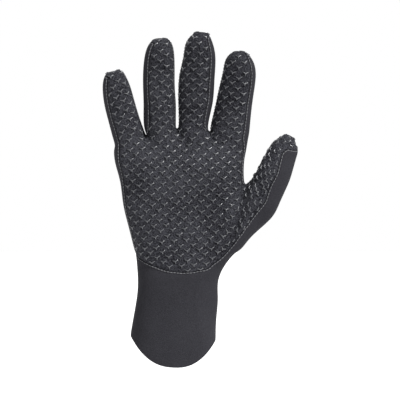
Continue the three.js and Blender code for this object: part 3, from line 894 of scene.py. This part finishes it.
def surface_at(spot):
    """The palm panel's nearest place and its normal."""
    nearest, normal, _, _ = palm_tree.find_nearest(Vector(spot))
    return np.array(nearest), np.array(normal)


def clear_length(place, way, length):
    """How much of an arm fits on the panel before it comes near the seam."""
    for share in ROOM_SHARES:
        spot, _ = surface_at(place + way * length * share)
        if edge_places.find(spot)[2] > GRIP_EDGE:
            return length * share
    return 0


def star_outline(arms, half_width, shorter):
    """A three-armed outline, counter-clockwise, as places and the share of the height that each one has."""
    outline = []
    for angle, length in arms:
        turn = math.radians(angle)
        way = np.array((math.cos(turn), math.sin(turn)))
        side = np.array((-way[1], way[0])) * half_width
        long = max(length - shorter, half_width * ARM_SHORTEST)
        neck = max(long - half_width * ARM_TAPER, half_width * PIT_REACH)
        pit = turn + math.pi / len(arms)
        outline += [
            (way * neck - side, 1.0),
            (way * long - side * ARM_END, ARM_END_HEIGHT),
            (way * long + side * ARM_END, ARM_END_HEIGHT),
            (way * neck + side, 1.0),
            (np.array((math.cos(pit), math.sin(pit))) * half_width * PIT_REACH, 1.0),
        ]
    return outline


def add_ridge(place, normal, right, thumb, vertices, polygons):
    """One ridge of the print, closed and a little sunk into the panel."""
    up = np.cross(normal, right)
    size = THUMB_SIZE if thumb else 1
    turned = (THUMB_TURN if thumb else GRIP_TURN) + rng.uniform(-1, 1) * GRIP_UNEVEN
    arms = []
    for angle, length in GRIP_ARMS:
        turn = math.radians(angle + turned)
        way = right * math.cos(turn) + up * math.sin(turn)
        length *= rng.uniform(*ARM_SPREAD) * size
        arms.append((angle + turned, clear_length(place, way, length)))
    if sum(length > 0 for _, length in arms) < FEWEST_ARMS:
        return
    tall = GRIP_HEIGHT * rng.uniform(*HEIGHT_SPREAD) * size
    start = len(vertices)
    for narrow, shorter, high in RIDGE_LAYERS:
        outline = star_outline(arms, GRIP_HALF_WIDTH * narrow, shorter)
        for (x, y), share in outline:
            spot, out = surface_at(place + right * x + up * y)
            vertices.append(spot + out * (tall * high * share if high > 0 else -GRIP_SUNK))
    spot, out = surface_at(place)
    vertices += [spot - out * GRIP_SUNK, spot + out * tall * RIDGE_CROWN]
    bottom, top = len(vertices) - 2, len(vertices) - 1
    count = len(outline)
    last = bottom - count
    for k in range(count):
        n = (k + 1) % count
        for low in range(start, last, count):
            polygons.append((low + k, low + n, low + count + n, low + count + k))
        polygons += [(top, last + k, last + n), (bottom, start + n, start + k)]


def grip_print():
    vertices, polygons = [], []
    for (place, normal, right), thumb in grip_places():
        add_ridge(place, normal, right, thumb, vertices, polygons)
    return new_mesh("grip_print", vertices, polygons, [grip_rubber])


grip_object = grip_print()


# The seam thread
def seam_loop(rims):
    """The palm panel's edge, point by point, round its one closed loop."""
    following = {a: b for a, b in rims}
    loop = [rims[0][0]]
    while following[loop[-1]] != loop[0]:
        loop.append(following[loop[-1]])
    return loop


def thread_line(loop, inward):
    """The thread's middle line at even steps, with the normals there, the distances run and the length."""
    line = []
    for i in loop:
        way = unit(np.mean(inward[i], axis=0))
        line.append(shaped[i] - way * THREAD_ASIDE + normals[i] * THREAD_RISE)
    line = np.array(line)
    for _ in range(LINE_SMOOTHINGS):
        line = (np.roll(line, 1, axis=0) + line * 2 + np.roll(line, -1, axis=0)) / 4
    ups = np.array([normals[i] for i in loop])
    closed = np.vstack([line, line[:1]])
    closed_ups = np.vstack([ups, ups[:1]])
    length = np.concatenate([[0], np.cumsum(np.linalg.norm(np.diff(closed, axis=0), axis=1))])
    steps = round(length[-1] / THREAD_STEP)
    at = np.linspace(0, length[-1], steps, endpoint=False)
    line = np.column_stack([np.interp(at, length, closed[:, k]) for k in range(3)])
    ups = np.column_stack([np.interp(at, length, closed_ups[:, k]) for k in range(3)])
    return line, ups, at, length[-1]


def seam_thread(rims, inward):
    """A thread round the seam, which thins and dips between its stitches and strays a little."""
    line, ups, at, total = thread_line(seam_loop(rims), inward)
    ahead = np.roll(line, -1, axis=0) - np.roll(line, 1, axis=0)
    ahead /= np.linalg.norm(ahead, axis=1, keepdims=True)
    aside = np.cross(ups, ahead)
    aside /= np.linalg.norm(aside, axis=1, keepdims=True)
    over = np.cross(ahead, aside)
    far, size = THREAD_WANDER
    wander = np.array([noise(Vector(p) / size) for p in line]) * far
    line = line + aside * wander[:, None]
    stitches = round(total / STITCH_PITCH)
    between = np.cos(at / total * stitches * 2 * math.pi) * 0.5 + 0.5
    radius = (THREAD_RADIUS * (1 - THREAD_THIN * between**STITCH_SHAPE))[:, None]
    turns = [2 * math.pi * k / THREAD_SIDES for k in range(THREAD_SIDES)]
    rings = [line + (aside * math.cos(turn) + over * math.sin(turn)) * radius for turn in turns]
    polygons = []
    for i in range(len(line)):
        a, b = i * THREAD_SIDES, (i + 1) % len(line) * THREAD_SIDES
        for k in range(THREAD_SIDES):
            n = (k + 1) % THREAD_SIDES
            polygons.append((a + k, a + n, b + n, b + k))
    return new_mesh("seam_thread", np.stack(rings, axis=1).reshape(-1, 3), polygons, [thread])


thread_object = seam_thread(palm_rims, palm_inward)

for obj in (palm_object, smooth_object, grip_object, thread_object):
    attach(obj, "root")
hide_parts("palm_panel")
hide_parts("back_and_cuff")


# The stage, in metres: a wide pale floor below the glove, soft light from the upper right and a weak one
# from behind. A light's way is where it comes from; its angle is its size in degrees.
FLOOR_LEVEL = -0.35
FLOOR_RADIUS = 12.0
FLOOR_SIDES = 96
KEY_WAY = (0.6, -0.52, 1.0)
KEY_STRENGTH = 4.7
KEY_ANGLE = 12
BACK_WAY = (-0.4, 0.8, 0.5)
BACK_STRENGTH = 1.4
BACK_ANGLE = 40
AMBIENT = 0.34
CAMERA_PLACE = (0.0195, -1.2, 0.110)
CAMERA_TILT = 90
CAMERA_LENS = 135
CAMERA_SENSOR = 36
CAMERA_REACH = 40

paper = procedural("pale_floor", (0.84, 0.84, 0.84), (0.92, 0.92, 0.92), 60, 80, 0.05, 0.9, 0.1)
floor_turns = [2 * math.pi * k / FLOOR_SIDES for k in range(FLOOR_SIDES)]
floor_ring = [
    (FLOOR_RADIUS * math.cos(turn) / MM, FLOOR_RADIUS * math.sin(turn) / MM, FLOOR_LEVEL / MM)
    for turn in floor_turns
]
floor = new_mesh("floor", floor_ring, [range(FLOOR_SIDES)], [paper])


def sun(name, way, strength, angle):
    light = bpy.data.lights.new(name, "SUN")
    light.energy = strength
    light.angle = math.radians(angle)
    obj = bpy.data.objects.new(name, light)
    obj.rotation_euler = Vector(way).to_track_quat("Z", "Y").to_euler()
    bpy.context.scene.collection.objects.link(obj)


sun("key", KEY_WAY, KEY_STRENGTH, KEY_ANGLE)
sun("back_light", BACK_WAY, BACK_STRENGTH, BACK_ANGLE)

# The world is a white surround that lights the glove more dimly than it looks
world = bpy.data.worlds.new("studio")
world.use_nodes = True
tree = world.node_tree
dim = tree.nodes["Background"]
dim.inputs["Color"].default_value = (1, 1, 1, 1)
dim.inputs["Strength"].default_value = AMBIENT
white = tree.nodes.new("ShaderNodeBackground")
white.inputs["Color"].default_value = (1, 1, 1, 1)
white.inputs["Strength"].default_value = 1.0
seen = tree.nodes.new("ShaderNodeLightPath")
either = tree.nodes.new("ShaderNodeMixShader")
tree.links.new(seen.outputs["Is Camera Ray"], either.inputs["Fac"])
tree.links.new(dim.outputs[0], either.inputs[1])
tree.links.new(white.outputs[0], either.inputs[2])
tree.links.new(either.outputs[0], tree.nodes["World Output"].inputs["Surface"])
bpy.context.scene.world = world

camera_data = bpy.data.cameras.new("camera")
camera_data.lens = CAMERA_LENS
camera_data.sensor_width = CAMERA_SENSOR
camera_data.clip_end = CAMERA_REACH
camera = bpy.data.objects.new("camera", camera_data)
camera.location = CAMERA_PLACE
camera.rotation_euler = (math.radians(CAMERA_TILT), 0, 0)
bpy.context.scene.collection.objects.link(camera)
bpy.context.scene.camera = camera

view_settings = bpy.context.scene.view_settings
view_settings.view_transform = "Standard"
view_settings.look = "None"
view_settings.exposure = 0.0
